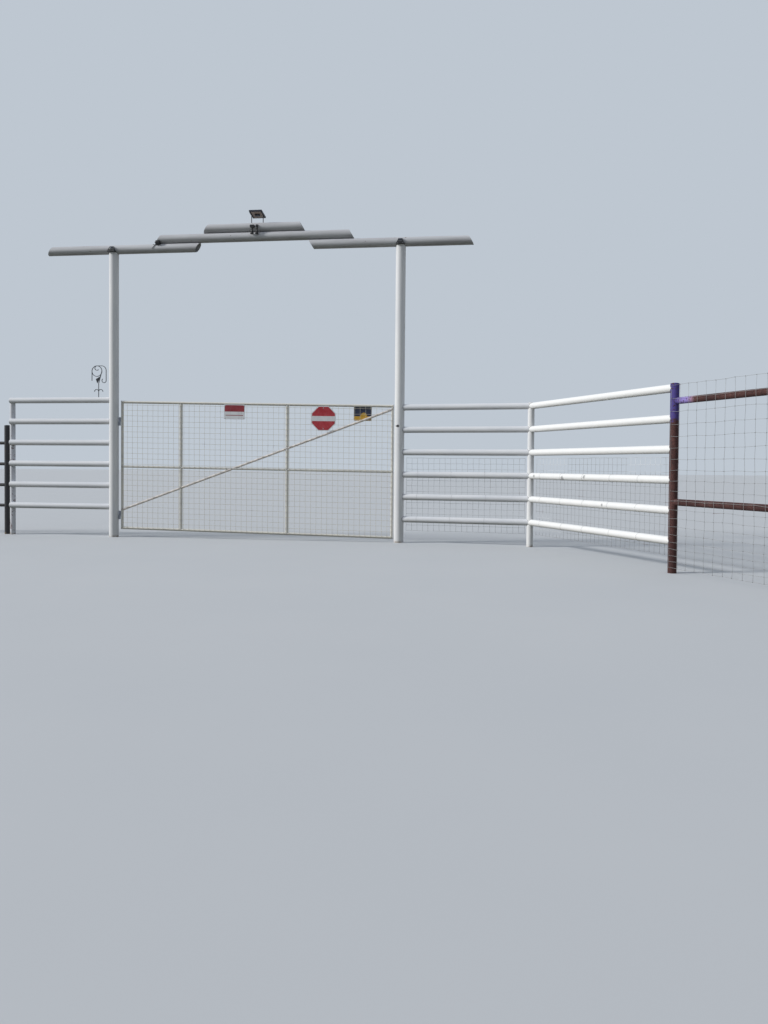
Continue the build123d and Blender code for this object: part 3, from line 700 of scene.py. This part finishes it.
def rounded_box(width, height, radius, corner_steps=5):
    """Outline of a rectangle with round corners, about its middle."""
    outline = []
    for quarter in range(4):
        start = quarter * math.pi / 2
        across = (width / 2 - radius) * (1 if quarter in (0, 3) else -1)
        up = (height / 2 - radius) * (1 if quarter in (0, 1) else -1)
        for step in range(corner_steps + 1):
            angle = start + step * math.pi / 2 / corner_steps
            outline.append((across + radius * math.cos(angle), up + radius * math.sin(angle)))
    return outline


def facing(centre, across, out):
    """Placement of a flat piece from its middle, its sideways direction and where it faces."""
    out = Vector(out).normalized()
    across = Vector(across)
    across = (across - out * across.dot(out)).normalized()
    up = out.cross(across)
    return Matrix.Translation(Vector(centre)) @ Matrix((across, up, out)).transposed().to_4x4()


def shifted(place, across=0.0, up=0.0, out=0.0):
    """A flat piece's placement, moved in its own directions."""
    return place @ Matrix.Translation(Vector((across, up, out)))


# Wire mesh and nets


def spread(first, last, pitch):
    """Evenly pitched positions that lie centred between two limits."""
    count = int((last - first) // pitch)
    start = (first + last - count * pitch) / 2
    return [start + number * pitch for number in range(count + 1)]


def steps(first, last, pitch):
    """Positions a pitch apart from the first limit, and one on the last limit."""
    count = math.ceil((last - first) / pitch)
    return [first + number * pitch for number in range(count)] + [last]


def knot(centre, along, out, radius):
    """Short length of wire wound twice round a line wire where a stay crosses it."""
    steps_a_turn, step_count = 8, 16
    length, coil_radius, wire_radius = 6 * radius, 1.9 * radius, 0.8 * radius
    line = []
    for number in range(step_count + 1):
        angle = 2 * math.pi * number / steps_a_turn
        shift = (number / step_count - 0.5) * length
        around = coil_radius * (math.cos(angle) * UP + math.sin(angle) * out)
        line.append(centre + along * shift + around)
    return sweep(line, wire_radius, 4)


def wire_net(name, origin, along, out, columns, rows, radius, look, slot, body, nodes,
             slope=0.0, sway=NET_SWAY, knotted=False):
    """Round-wire net that stands for lattice nodes, its level wires in front of its upright ones.

    The wires share each crossing's small offset, so that they stay welded or knotted there."""
    origin, along, out = Vector(origin), Vector(along).normalized(), Vector(out).normalized()
    crossings = []
    for across in columns:
        column = []
        for height in rows:
            shift = draw.uniform(-sway, sway) * along + Vector((0, 0, draw.uniform(-sway, sway)))
            column.append(origin + along * across + Vector((0, 0, height - slope * across)) + shift)
        crossings.append(column)
    batch = Batch()
    for column in crossings:
        batch.add(*sweep([point + out * radius for point in column], radius))
    lift = out * (LEVEL_WIRE_LIFT * radius)
    for row in range(len(rows)):
        batch.add(*sweep([column[row] + lift for column in crossings], radius))
    if knotted:
        for column in crossings:
            for point in column:
                batch.add(*knot(point + lift, along, out, radius))
    piece = batch.build(name, look, body, slot)
    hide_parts(*nodes)


def make_gate_mesh():
    columns = steps(MESH_FIRST_WIRE, LATCH_STILE_X - HINGE_STILE_X, MESH_PITCH)
    rows = steps(GATE_BOTTOM, GATE_TOP, MESH_PITCH)
    wire_net("gate_round_mesh", (HINGE_STILE_X, GATE_FRONT_Y, 0), RIGHT, TO_ROAD, columns, rows,
             MESH_WIRE_RADIUS, "mesh_paint", "mesh_paint", "gate_leaf",
             [f"gate_mesh_{number}" for number in (1, 2, 3, 4)], GATE_SLOPE, MESH_SWAY)


def bay(start, end):
    """Direction along a bay, direction to its field side, and its length."""
    run = Vector((end[0] - start[0], end[1] - start[1], 0))
    along = run.normalized()
    return along, Vector((-along.y, along.x, 0)), run.length


def make_wing_nets():
    rows = spread(NET_TOP - NET_HEIGHT, NET_TOP, NET_PITCH)
    pieces = (("wing_net_1", "net_wire", ["right_net_1"]),
              ("wing_net_2", "net_wire_painted_sun", ["right_net_2", "right_net_3"]))
    for (start, end, start_radius), (name, look, nodes) in zip(RIGHT_BAYS, pieces):
        along, field, length = bay(start, end)
        columns = spread(start_radius, length - FENCE_POST_RADIUS, NET_PITCH)
        origin = Vector((*start, 0)) + field * RAIL_RADIUS
        wire_net(name, origin, along, field, columns, rows, NET_WIRE_RADIUS,
                 look, "net_wire", "gateway", nodes)


def high_net_rows():
    """Heights of the field net's line wires, whose gaps grow from the ground up."""
    rows, gap = [HIGH_NET_BOTTOM], HIGH_NET_FIRST_GAP
    mean_gap = (HIGH_NET_TOP - HIGH_NET_BOTTOM) / (HIGH_NET_LINES - 1)
    growth = 2 * (mean_gap - gap) / (HIGH_NET_LINES - 2)
    for _ in range(HIGH_NET_LINES - 1):
        rows.append(rows[-1] + gap)
        gap += growth
    return rows


def make_high_net():
    along, field, _ = bay(LINE_POST, BRACE_POST)
    columns = spread(0, BRACE_BAY, HIGH_NET_STAY_PITCH)
    origin = Vector((*BRACE_POST, 0)) - field * FENCE_POST_RADIUS
    wire_net("high_field_net", origin, along, -field, columns, high_net_rows(), NET_WIRE_RADIUS,
             "net_wire", "net_wire", "gateway", ["high_net"], sway=HIGH_NET_SWAY, knotted=True)


# Weld beads


def bead_radii(count, size):
    """Radii of a weld bead, which is rippled by the welder's hand."""
    return [size * (1 + 0.22 * math.sin(1.7 * number) + draw.uniform(-0.12, 0.12))
            for number in range(count)]


def add_bead(batch, line, size):
    batch.add(*loop_sweep(line, bead_radii(len(line), size)))


def saddle(start, direction, radius, host, host_radius, count):
    """Line where a tube that starts on an upright host's axis leaves the host's surface."""
    start, direction = Vector(start), Vector(direction).normalized()
    across = direction.cross(UP).normalized()
    line = []
    for point in ring(start, across, across.cross(direction), radius, count):
        gap_x, gap_y = point.x - host[0], point.y - host[1]
        a = direction.x ** 2 + direction.y ** 2
        b = 2 * (direction.x * gap_x + direction.y * gap_y)
        c = gap_x ** 2 + gap_y ** 2 - host_radius ** 2
        reach = (-b + math.sqrt(max(0.0, b * b - 4 * a * c))) / (2 * a)
        line.append(point + direction * reach)
    return line


def add_rail_beads(batch, start, end, radii, heights, at_start=True):
    """Beads at the ends of a bay's rails. The radii are the rail's and then each post's."""
    along, _, _ = bay(start, end)
    for height in heights:
        if at_start:
            add_bead(batch, saddle((*start, height), along, radii[0], start, radii[1], 28), RAIL_BEAD)
        add_bead(batch, saddle((*end, height), -along, radii[0], end, radii[2], 28), RAIL_BEAD)


def rail_heights(top):
    return [top - number * RAIL_PITCH for number in range(RAIL_COUNT)]


def brace_bay_end():
    along, _, _ = bay(LINE_POST, BRACE_POST)
    return BRACE_POST[0] + along.x * BRACE_BAY, BRACE_POST[1] + along.y * BRACE_BAY


def make_fence_welds():
    white = Batch()
    left_front_y = LEFT_END_POST[1] - LEFT_END_RADIUS - RAIL_RADIUS + LEFT_RAIL_NOTCH
    left_start = (LEFT_END_POST[0] - LEFT_RAIL_OVERRUN, left_front_y)
    add_rail_beads(white, left_start, (0, 0), (RAIL_RADIUS, LEFT_END_RADIUS, POST_RADIUS),
                   rail_heights(LEFT_TOP_RAIL), at_start=False)
    for start, end, start_radius in RIGHT_BAYS:
        add_rail_beads(white, start, end, (RAIL_RADIUS, start_radius, FENCE_POST_RADIUS),
                       rail_heights(RIGHT_TOP_RAIL))
    white.build("rail_welds", "weld", "gateway", "white_paint")
    for name, look, slot, start, end, radius, heights in (
            ("brace_welds", "rusty", "rusty_steel", BRACE_POST, brace_bay_end(),
             BRACE_RAIL_RADIUS, BRACE_RAIL_HEIGHTS),
            ("black_fence_welds", "black_paint", "black_paint", BLACK_POST_FAR, BLACK_POST_NEAR,
             BLACK_RAIL_RADIUS, BLACK_RAIL_HEIGHTS)):
        batch = Batch()
        add_rail_beads(batch, start, end, (radius, FENCE_POST_RADIUS, FENCE_POST_RADIUS), heights)
        batch.build(name, look, "gateway", slot)


def make_arch_welds():
    """Beads round the post tops, and stitches in the grooves between the stacked pipes."""
    batch = Batch()
    for x in (0, POST_SPACING):
        line = []
        for turn in turns(48):
            y = POST_RADIUS * math.sin(turn)
            drop = math.sqrt(max(0.0, ARCH_RADIUS ** 2 - y * y))
            line.append((x + POST_RADIUS * math.cos(turn), y, LOW_AXIS - drop))
        add_bead(batch, line, POST_TOP_BEAD)
    low, middle, top = (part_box(f"arch_pipe_{name}") for name in ("left", "middle", "top"))
    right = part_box("arch_pipe_right")
    seams = ((middle[0].x, low[1].x, low[1].z), (right[0].x, middle[1].x, low[1].z),
             (top[0].x, top[1].x, top[0].z))
    for first, last, height in seams:
        for side in (-1, 1):
            x = first + STITCH_INSET
            while x + STITCH_LENGTH < last - STITCH_INSET:
                line = [(x + STITCH_LENGTH * number / STITCH_STEPS, side * GROOVE_Y, height)
                        for number in range(STITCH_STEPS + 1)]
                batch.add(*sweep(line, bead_radii(len(line), STITCH_BEAD)))
                x += STITCH_PITCH
    batch.build("arch_welds", "weld", "gateway", "white_paint")


def leaf_level(x, height):
    """Height on the gate leaf, which sags from the hinge stile to the latch stile."""
    return height - GATE_SLOPE * (x - HINGE_STILE_X)


def add_corner_beads(batch):
    """Beads round the leaf's mitred corners."""
    for x, side in ((HINGE_STILE_X, -1), (LATCH_STILE_X, 1)):
        for height, lift in ((GATE_TOP, 1), (GATE_BOTTOM, -1)):
            line = []
            for turn in turns(24):
                along = GATE_TUBE_RADIUS * math.cos(turn)
                line.append((x + side * along, GATE_TUBE_RADIUS * math.sin(turn),
                             leaf_level(x, height) + lift * along))
            add_bead(batch, line, GATE_BEAD)


def add_upright_beads(batch):
    """Beads round both ends of the leaf's uprights."""
    for x in UPRIGHTS_X:
        for height, lift in ((GATE_TOP, -1), (GATE_BOTTOM, 1)):
            line = []
            for turn in turns(28):
                y = UPRIGHT_RADIUS - GATE_TUBE_RADIUS + UPRIGHT_RADIUS * math.sin(turn)
                reach = math.sqrt(max(0.0, GATE_TUBE_RADIUS ** 2 - y * y))
                line.append((x + UPRIGHT_RADIUS * math.cos(turn), y,
                             leaf_level(x, height) + lift * reach))
            add_bead(batch, line, GATE_BEAD)


def add_leaf_rail_beads(batch):
    """Beads where the leaf's mid rail and brace meet its stiles and uprights."""
    upright_y = UPRIGHT_RADIUS - GATE_TUBE_RADIUS
    hosts = [((HINGE_STILE_X, 0), GATE_TUBE_RADIUS)]
    hosts += [((x, upright_y), UPRIGHT_RADIUS) for x in UPRIGHTS_X]
    hosts += [((LATCH_STILE_X, 0), GATE_TUBE_RADIUS)]
    for radius, (near, far) in ((MID_RAIL_RADIUS, MID_RAIL_HEIGHTS), (BRACE_RADIUS, BRACE_HEIGHTS)):
        y = radius - GATE_TUBE_RADIUS
        start, end = Vector((HINGE_STILE_X, y, near)), Vector((LATCH_STILE_X, y, far))
        for host, host_radius in hosts:
            share = (host[0] - start.x) / (end.x - start.x)
            point = start.lerp(end, share)
            for direction, goes_on in ((end - start, share < 1), (start - end, share > 0)):
                if goes_on:
                    line = saddle(point, direction, radius, host, host_radius, 24)
                    add_bead(batch, line, GATE_RAIL_BEAD)


def make_gate_welds():
    batch = Batch()
    add_corner_beads(batch)
    add_upright_beads(batch)
    add_leaf_rail_beads(batch)
    batch.build("gate_welds", "weld", "gate_leaf", "gate_paint")


# Signs on the gate


def add_fixings(batch, place, spots, radius=0.006):
    """Domed bolt heads on a plate, at places that are given from its middle."""
    out = place.to_3x3() @ UP
    profile = ((radius * 1.6, 0), (radius * 1.6, 0.0012), (radius, 0.0012), (radius, 0.003),
               (radius * 0.6, 0.0048))
    for across, up in spots:
        batch.add(*turned(profile, place @ Vector((across, up, 0.0018)), out, 10))


def corner_spots(width, height, inset):
    return [(side * (width / 2 - inset), lift * (height / 2 - inset))
            for side in (-1, 1) for lift in (-1, 1)]


def film(name, place, outline, look, lift, shift=(0, 0)):
    """Thin coloured field that lies on a sign's plate or on another film."""
    batch = Batch()
    batch.add(*slab(outline, FILM_THICKNESS, FILM_CHAMFER, shifted(place, *shift, lift)))
    batch.build(name, look, "gate_leaf", None, smooth=False)


def plate(name, place, outline):
    batch = Batch()
    batch.add(*slab(outline, PLATE_THICKNESS, PLATE_CHAMFER, place))
    batch.build(name, "sign_white", "gate_leaf", None, smooth=False)


def octagon(width):
    """Outline of a regular octagon on one of its flats, from the width between flats."""
    reach = width / 2 / math.cos(math.pi / 8)
    angles = [math.pi * (number + 0.5) / 4 for number in range(8)]
    return [(reach * math.cos(angle), reach * math.sin(angle)) for angle in angles]


def sign_place(middle, y, drop):
    return facing((middle[0], y, middle[1]), (1, 0, -drop), TO_ROAD)


def make_left_sign(fixings):
    width, height = LEFT_SIGN_SIZE
    place = sign_place(LEFT_SIGN_PLACE, FRONT_SIGN_Y, LEFT_SIGN_DROP)
    plate("left_sign", place, rounded_box(width, height, 0.018))
    film("left_sign_upper_field", place, rounded_box(width - 0.024, height / 2 - 0.018, 0.010),
         "sign_dark_red", ON_PLATE, (0, height / 4 - 0.004))
    film("left_sign_lower_rule", place, rounded_box(width - 0.060, 0.012, 0.005),
         "sign_dark_red", ON_PLATE, (0, -height / 4 + 0.006))
    add_fixings(fixings, place, corner_spots(width, height, 0.020))


def make_round_sign(fixings):
    width = ROUND_SIGN_WIDTH
    place = sign_place(ROUND_SIGN_PLACE, FRONT_SIGN_Y, ROUND_SIGN_DROP)
    plate("round_sign", place, octagon(width))
    film("round_sign_field", place, octagon(width - 0.030), "sign_red", ON_PLATE)
    film("round_sign_band", place, rounded_box(width - 0.016, 0.092, 0.010), "sign_white",
         ON_FILM, (0, -0.004))
    add_fixings(fixings, place, [(0, 0.190), (0, -0.190)])


def make_right_sign(fixings):
    """Sign that hangs behind the mesh, with a low yellow band that bulges up in the middle."""
    width, height = RIGHT_SIGN_SIZE
    place = sign_place(RIGHT_SIGN_PLACE, RIGHT_SIGN_Y, RIGHT_SIGN_DROP)
    plate("right_sign", place, rounded_box(width, height, 0.012))
    film("right_sign_field", place, rounded_box(width - 0.006, height - 0.006, 0.010), "sign_blue",
         ON_PLATE)
    film("right_sign_band", place, rounded_box(width - 0.006, 0.078, 0.010), "sign_yellow",
         ON_FILM, (0, -height / 2 + 0.043))
    angles = [math.pi * number / 16 for number in range(17)]
    bulge = [(0.062 * math.cos(angle), 0.070 * math.sin(angle)) for angle in angles]
    film("right_sign_bump", place, bulge, "sign_yellow", ON_FILM, (0.02, -height / 2 + 0.080))
    add_fixings(fixings, place, corner_spots(width, height, 0.016))


def make_signs():
    fixings = Batch()
    make_left_sign(fixings)
    make_round_sign(fixings)
    make_right_sign(fixings)
    fixings.build("sign_fixings", "alloy", "gate_leaf", None)


# Lights and solar panel


def make_light_details():
    """Lens, cell and screws on each wedge light, and a lens, shade and sleeve on each lamp."""
    out = Vector((0, -1, POST_LIGHT_LEAN)).normalized()
    lenses, cells, screws, sleeves = Batch(), Batch(), Batch(), Batch()
    for x in (0, POST_SPACING):
        face = facing(POST_LIGHT_CENTRE + Vector((x, 0, 0)), RIGHT, out)
        inset = shifted(face, out=-LIGHT_LENS_SINK)
        lenses.add(*slab(rounded_box(*LIGHT_LENS_SIZE, 0.004), 0.0035, 0.0012, inset))
        above = shifted(face, up=LIGHT_CELL_RISE)
        cells.add(*slab(rounded_box(*LIGHT_CELL_SIZE, 0.003), 0.0008, 0.0004, above))
        for across, up in LIGHT_SCREWS:
            screws.add(*turned(SCREW_PROFILE, face @ Vector((across, up, 0)), out, 10))
    for node in ("left_lamp", "right_lamp"):
        low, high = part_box(node)
        centre = Vector(((low.x + high.x) / 2, low.y + LAMP_AXIS_IN, low.z))
        shade_centre = centre - Vector((0, LAMP_SHADE_FORWARD, 0))
        lenses.add(*turned(LAMP_LENS_PROFILE, centre, UP, 20))
        sleeves.add(*turned(LAMP_SHADE_PROFILE, shade_centre, UP, 24))
        sleeves.add(*turned(LAMP_SLEEVE_PROFILE, centre, UP, 16))
    lenses.build("light_lenses", "lens", "gateway", "black_plastic")
    cells.build("light_cells", "solar_cell", "gateway", "solar_panel")
    screws.build("light_screws", "alloy", "gateway", "black_plastic")
    sleeves.build("lamp_sleeves", "black_plastic", "gateway", "black_plastic")


def make_wire_clamp():
    """Clamp on the middle pipe's low tip, with two stiff wire ends bent over the pipe below."""
    place = facing(CLAMP_PLACE, RIGHT, TO_ROAD)
    batch = Batch()
    batch.add(*slab(rounded_box(*CLAMP_BODY, 0.010), CLAMP_DEPTH, 0.008, place))
    batch.add(*slab(rounded_box(*CLAMP_BAND, 0.006), CLAMP_BAND_DEPTH, 0.004, place))
    add_fixings(batch, shifted(place, out=CLAMP_BOLT_LIFT), CLAMP_BOLTS, CLAMP_BOLT_RADIUS)
    for wire in CLAMP_WIRES:
        batch.add(*sweep(wire, CLAMP_WIRE_RADIUS, 8))
    batch.build("arch_wire_clamp", "black_plastic", "gateway", "dark_steel")


def make_solar_cells():
    """Sheet under the panel, and backing, cells and conductor strips in its frame."""
    low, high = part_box("solar_panel")
    centre = Vector(((low.x + high.x) / 2, 0, LOW_AXIS + 5 * ARCH_RADIUS + PANEL_OVER_PIPE))
    panel = Matrix.Translation(centre) @ Matrix.Rotation(PANEL_TILT, 4, "X")
    under = panel @ Matrix.Rotation(math.pi, 4, "X") @ Matrix.Translation((0, 0, BACK_SHEET_DROP))
    place = shifted(panel, out=BACKING_LIFT)
    backing, cells, strips, sheet = Batch(), Batch(), Batch(), Batch()
    sheet.add(*slab(rounded_box(*BACK_SHEET_SIZE, 0.004), 0.0010, 0.0004, under))
    sheet.build("panel_back_sheet", "back_sheet", "gateway", "solar_panel", smooth=False)
    backing.add(*slab(rounded_box(*BACKING_SIZE, 0.002), BACKING_THICKNESS, 0.0003, place))
    cell_outline = rounded_box(CELL_PITCH_X - CELL_GAP, CELL_PITCH_Y - CELL_GAP, 0.004)
    strip_outline = rounded_box(STRIP_WIDTH, CELL_PITCH_Y, 0.0004, 2)
    for column in range(CELL_COLUMNS):
        for row in range(CELL_ROWS):
            across = (column - (CELL_COLUMNS - 1) / 2) * CELL_PITCH_X
            up = (row - (CELL_ROWS - 1) / 2) * CELL_PITCH_Y
            cell = shifted(place, across, up, BACKING_THICKNESS)
            cells.add(*slab(cell_outline, CELL_THICKNESS, 0.0002, cell))
            for side in (-1, 1):
                strip = shifted(cell, side * STRIP_SHIFT, 0, CELL_THICKNESS)
                strips.add(*slab(strip_outline, 0.0003, 0.0001, strip))
    backing.build("panel_backing", "cell_backing", "gateway", "solar_panel", smooth=False)
    cells.build("panel_cells", "solar_cell", "gateway", "solar_panel", smooth=False)
    strips.build("panel_strips", "alloy", "gateway", "solar_panel", smooth=False)


# Ties that hold the nets to the rails


def add_tie(batch, centre, along, out, radius):
    """Loop of soft wire round a rail and a net wire, twisted together on the field side."""
    line = [centre + radius * (math.cos(turn) * out + math.sin(turn) * UP)
            + along * TIE_SKEW * math.sin(turn) for turn in turns(20)]
    batch.add(*loop_sweep(line, TIE_WIRE_RADIUS))
    tail = centre + out * radius
    for side in (0, math.pi):
        twist = []
        for number in range(14):
            angle = side + 0.9 * number
            around = 0.0014 * (math.cos(angle) * along + math.sin(angle) * UP)
            twist.append(tail + out * 0.0011 * number - UP * 0.0009 * number + around)
        batch.add(*sweep(twist, TIE_WIRE_RADIUS, 4))


def make_net_ties():
    batch = Batch()
    for start, end, _ in RIGHT_BAYS:
        along, field, length = bay(start, end)
        for height in rail_heights(RIGHT_TOP_RAIL)[-TIED_RAILS:]:
            across = TIE_START
            while across < length - TIE_END:
                scatter = draw.uniform(-TIE_SCATTER, TIE_SCATTER)
                point = Vector((*start, height)) + along * (across + scatter)
                add_tie(batch, point, along, field, RAIL_RADIUS + TIE_GAP)
                across += TIE_PITCH
    batch.build("net_ties", "net_wire", "gateway", "net_wire")


# Camera, light and stage


def make_camera():
    ahead = Vector((math.sin(YAW), math.cos(YAW), 0))
    right = Vector((math.cos(YAW), -math.sin(YAW), 0))
    view = math.cos(PITCH) * ahead - math.sin(PITCH) * UP
    top = math.sin(PITCH) * ahead + math.cos(PITCH) * UP
    side = math.cos(ROLL) * right + math.sin(ROLL) * top
    head = -math.sin(ROLL) * right + math.cos(ROLL) * top
    camera = bpy.data.cameras.new("camera")
    camera.sensor_width = SENSOR_MM
    camera.lens = SENSOR_MM * FOCAL_PX / FRAME_LONG_PX
    camera.shift_x = (FRAME_WIDE_PX / 2 - OPTICAL_COLUMN) / FRAME_LONG_PX
    camera.shift_y = (OPTICAL_ROW - FRAME_LONG_PX / 2) / FRAME_LONG_PX
    camera.clip_end = SIGHT_REACH
    holder = add_object("camera", camera)
    rotation = Matrix((side, head, -view)).transposed().to_4x4()
    holder.matrix_world = Matrix.Translation(CAMERA_PLACE) @ rotation
    bpy.context.scene.camera = holder


def show_by_ray(tree, unseen, seen, output):
    """Join a shader that only lights the object and one that is seen, also in a gloss or lens."""
    path = tree.nodes.new("ShaderNodeLightPath")
    share = path.outputs["Is Camera Ray"]
    for name in ("Is Glossy Ray", "Is Transmission Ray"):
        either = tree.nodes.new("ShaderNodeMath")
        either.operation = "MAXIMUM"
        tree.links.new(share, either.inputs[0])
        tree.links.new(path.outputs[name], either.inputs[1])
        share = either.outputs[0]
    choice = tree.nodes.new("ShaderNodeMixShader")
    tree.links.new(share, choice.inputs[0])
    tree.links.new(unseen.outputs[0], choice.inputs[1])
    tree.links.new(seen.outputs[0], choice.inputs[2])
    tree.links.new(choice.outputs[0], tree.nodes[output].inputs["Surface"])


def make_stage():
    """Pale floor that runs out of sight, and throws no more light back up than grass does."""
    look = Look("floor", 0.9)
    look.colour(look.mix(look.noise(0.5, 3), srgb(196, 200, 204), srgb(202, 205, 208)))
    turf = look.node("ShaderNodeBsdfDiffuse")
    turf.inputs["Color"].default_value = srgb(112, 112, 98)
    show_by_ray(look.tree, turf, look.shader, "Material Output")
    corners = [(across * FLOOR_REACH, back * FLOOR_REACH, 0)
               for across, back in ((-1, -1), (1, -1), (1, 1), (-1, 1))]
    mesh = bpy.data.meshes.new("floor")
    mesh.from_pydata(corners, [], [(0, 1, 2, 3)])
    mesh.materials.append(look.material)
    floor = add_object("floor", mesh)


def make_light():
    """Sun from the left, softened, with weaker light from all round and a pale backdrop."""
    sun = bpy.data.lights.new("sun", "SUN")
    sun.energy = SUN_STRENGTH
    sun.angle = SUN_WIDTH
    sun.color = SUN_COLOUR
    holder = add_object("sun", sun)
    holder.rotation_mode = "QUATERNION"
    holder.rotation_quaternion = SUN_SHINES.to_track_quat("-Z", "Y")

    world = bpy.data.worlds.new("world")
    bpy.context.scene.world = world
    world.use_nodes = True
    tree = world.node_tree
    ambient = tree.nodes["Background"]
    ambient.inputs["Color"].default_value = AMBIENT
    backdrop = tree.nodes.new("ShaderNodeBackground")
    backdrop.inputs["Color"].default_value = srgb(190, 199, 209)
    show_by_ray(tree, ambient, backdrop, "World Output")
    bpy.context.scene.view_settings.view_transform = "Standard"


make_camera()
dress_nodes()
make_gate_mesh()
make_wing_nets()
make_high_net()
make_fence_welds()
make_arch_welds()
make_gate_welds()
make_signs()
make_light_details()
make_wire_clamp()
make_solar_cells()
make_net_ties()
make_stage()
make_light()
